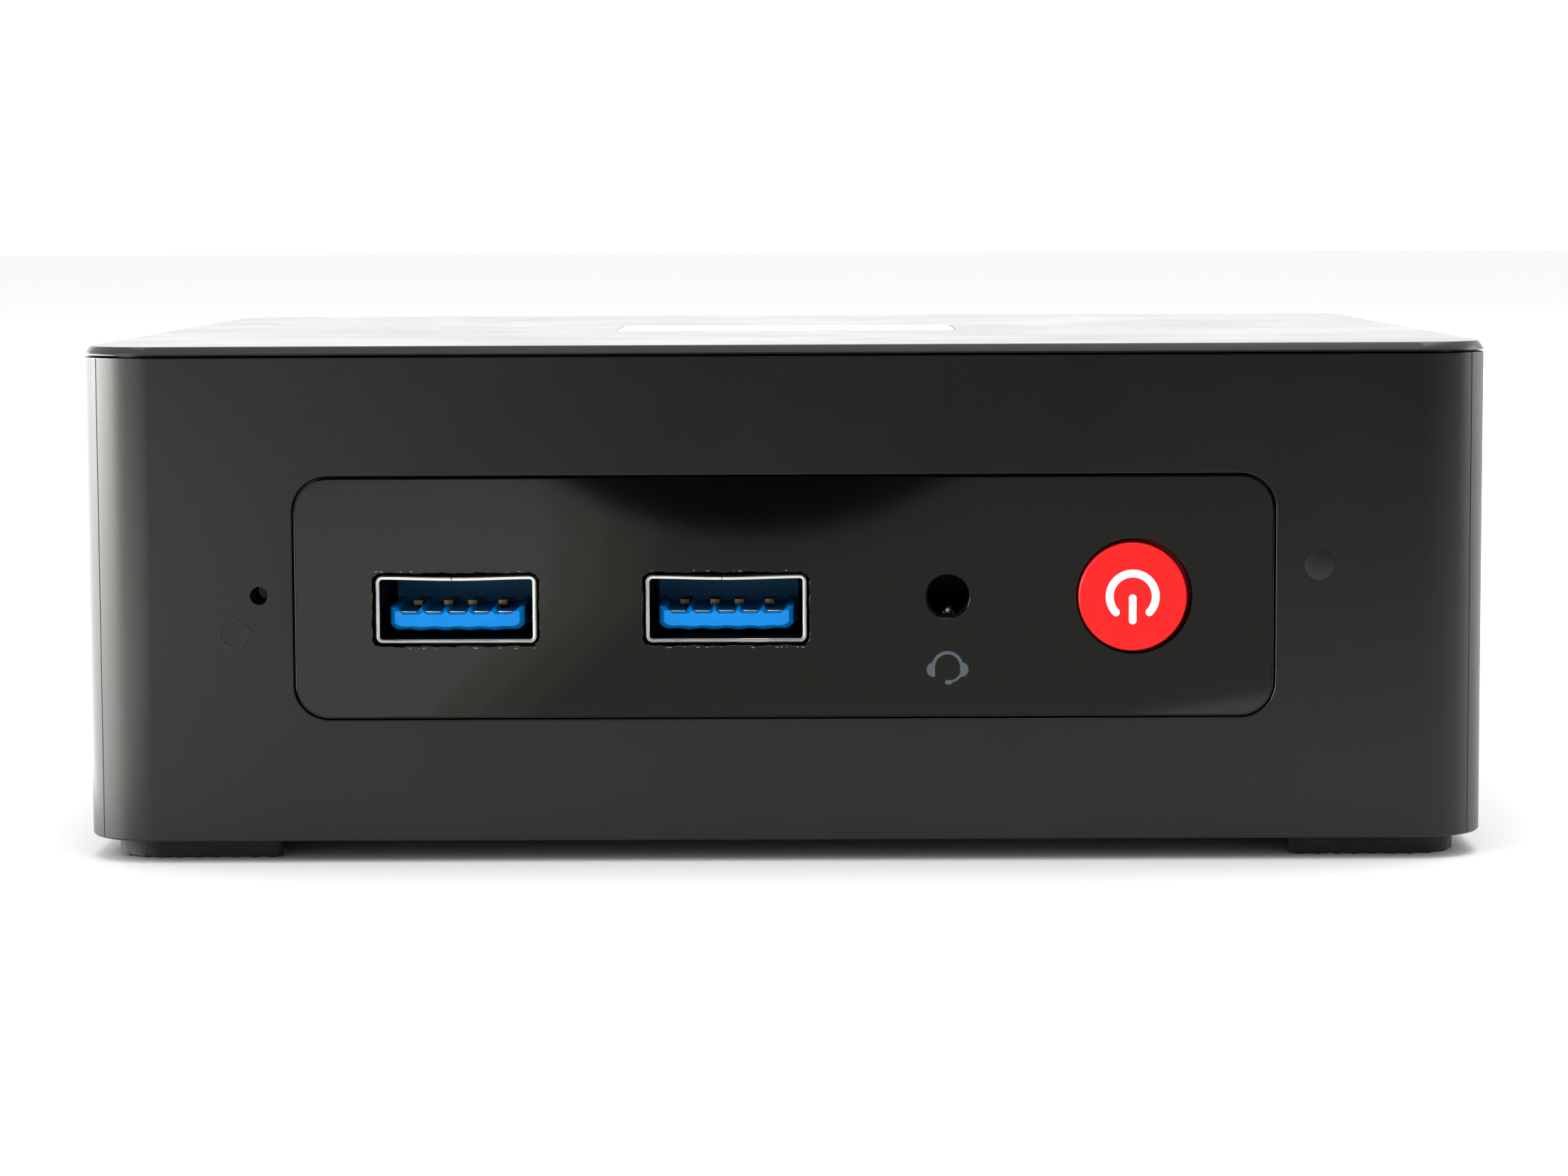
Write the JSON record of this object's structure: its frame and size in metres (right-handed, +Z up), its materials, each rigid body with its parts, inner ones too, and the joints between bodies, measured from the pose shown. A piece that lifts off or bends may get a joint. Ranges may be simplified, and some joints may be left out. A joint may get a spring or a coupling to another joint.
{
  "type": "mini pc",
  "caption": "Small boxy desktop computer: rounded black case on rubber feet, inset glossy front panel with sockets and a round red power button, sockets and vent slots behind.",
  "frame": {"origin": "under the middle of the case, on the plane its feet stand on", "axes": "+Z up, -Y out of the front face with the sockets and the power button, +X to the right seen from the front"},
  "size_m": [0.115, 0.1032, 0.0422],
  "materials": {
    "case_plastic": "fine moulded texture, satin",
    "gloss_plastic": "polished black",
    "rubber": "matt",
    "screw_steel": "nickel plated",
    "nickel": "bright stamped sheet",
    "blue_plastic": "moulded",
    "dark_plastic": "moulded",
    "circuit_board": "solder mask",
    "button_red": "satin moulded",
    "aluminium": "extruded",
    "brass": "turned",
    "white_plastic": "moulded",
    "smoked_plastic": "smoked"
  },
  "bodies": {
    "case": {"antenna_cable_left": "dark_plastic", "antenna_cable_right": "dark_plastic", "antenna_left": "circuit_board", "antenna_right": "circuit_board", "audio_jack": "dark_plastic", "board_screw_front_left": "screw_steel", "board_screw_front_right": "screw_steel", "board_screw_rear_left": "screw_steel", "board_screw_rear_right": "screw_steel", "bottom_cover": "case_plastic", "coin_cell": "nickel", "coin_cell_holder": "white_plastic", "cover_screw_front_left": "screw_steel", "cover_screw_front_right": "screw_steel", "cover_screw_rear_left": "screw_steel", "cover_screw_rear_right": "screw_steel", "dc_jack": "dark_plastic", "dc_jack_pin": "nickel", "ethernet_jack": "nickel", "fan_bearing": "brass", "fan_cable": "dark_plastic", "fan_frame": "dark_plastic", "fan_stator": "brass", "foot_front_left": "rubber", "foot_front_right": "rubber", "foot_rear_left": "rubber", "foot_rear_right": "rubber", "front_panel": "gloss_plastic", "front_usb_shell_left": "nickel", "front_usb_shell_right": "nickel", "front_usb_tongue_left": "blue_plastic", "front_usb_tongue_right": "blue_plastic", "hdmi_shell_left": "nickel", "hdmi_shell_right": "nickel", "hdmi_tongue_left": "dark_plastic", "hdmi_tongue_right": "dark_plastic", "heatsink": "aluminium", "led_light_pipe": "smoked_plastic", "main_shell": "case_plastic", "memory_module": "circuit_board", "memory_socket": "dark_plastic", "motherboard": "circuit_board", "power_switch": "dark_plastic", "processor": "dark_plastic", "rear_usb_shell": "nickel", "rear_usb_tongue_lower": "blue_plastic", "rear_usb_tongue_upper": "blue_plastic", "reset_switch": "dark_plastic", "ssd_card": "circuit_board", "ssd_screw": "screw_steel", "ssd_socket": "dark_plastic", "ssd_standoff": "brass", "top_badge": "gloss_plastic", "top_cover": "case_plastic", "wifi_module": "nickel"},
    "power_button": {"power_button": "button_red"},
    "power_switch_plunger": {"power_switch_plunger": "white_plastic"},
    "reset_switch_plunger": {"reset_switch_plunger": "white_plastic"},
    "fan_rotor": {"fan_rotor": "dark_plastic", "fan_shaft": "nickel"}
  },
  "joints": [
    {"name": "power_button_press", "type": "slide", "parent": "case", "child": "power_button", "axis": [0, 1, 0], "range_m": [0, 0.0005], "stiffness_N_per_m": 800},
    {"name": "power_plunger_slide", "type": "slide", "parent": "case", "child": "power_switch_plunger", "axis": [0, 1, 0], "range_m": [0, 0.0005]},
    {"name": "reset_plunger_press", "type": "slide", "parent": "case", "child": "reset_switch_plunger", "axis": [0, 1, 0], "range_m": [0, 0.00025], "stiffness_N_per_m": 800},
    {"name": "fan_spin", "type": "hinge", "parent": "case", "child": "fan_rotor", "pos_m": [0, 0.002, 0.035], "axis": [0, 0, 1], "continuous": true}
  ],
  "couplings": [
    {"joint": "power_plunger_slide", "follows": "power_button_press", "ratio": 1}
  ]
}
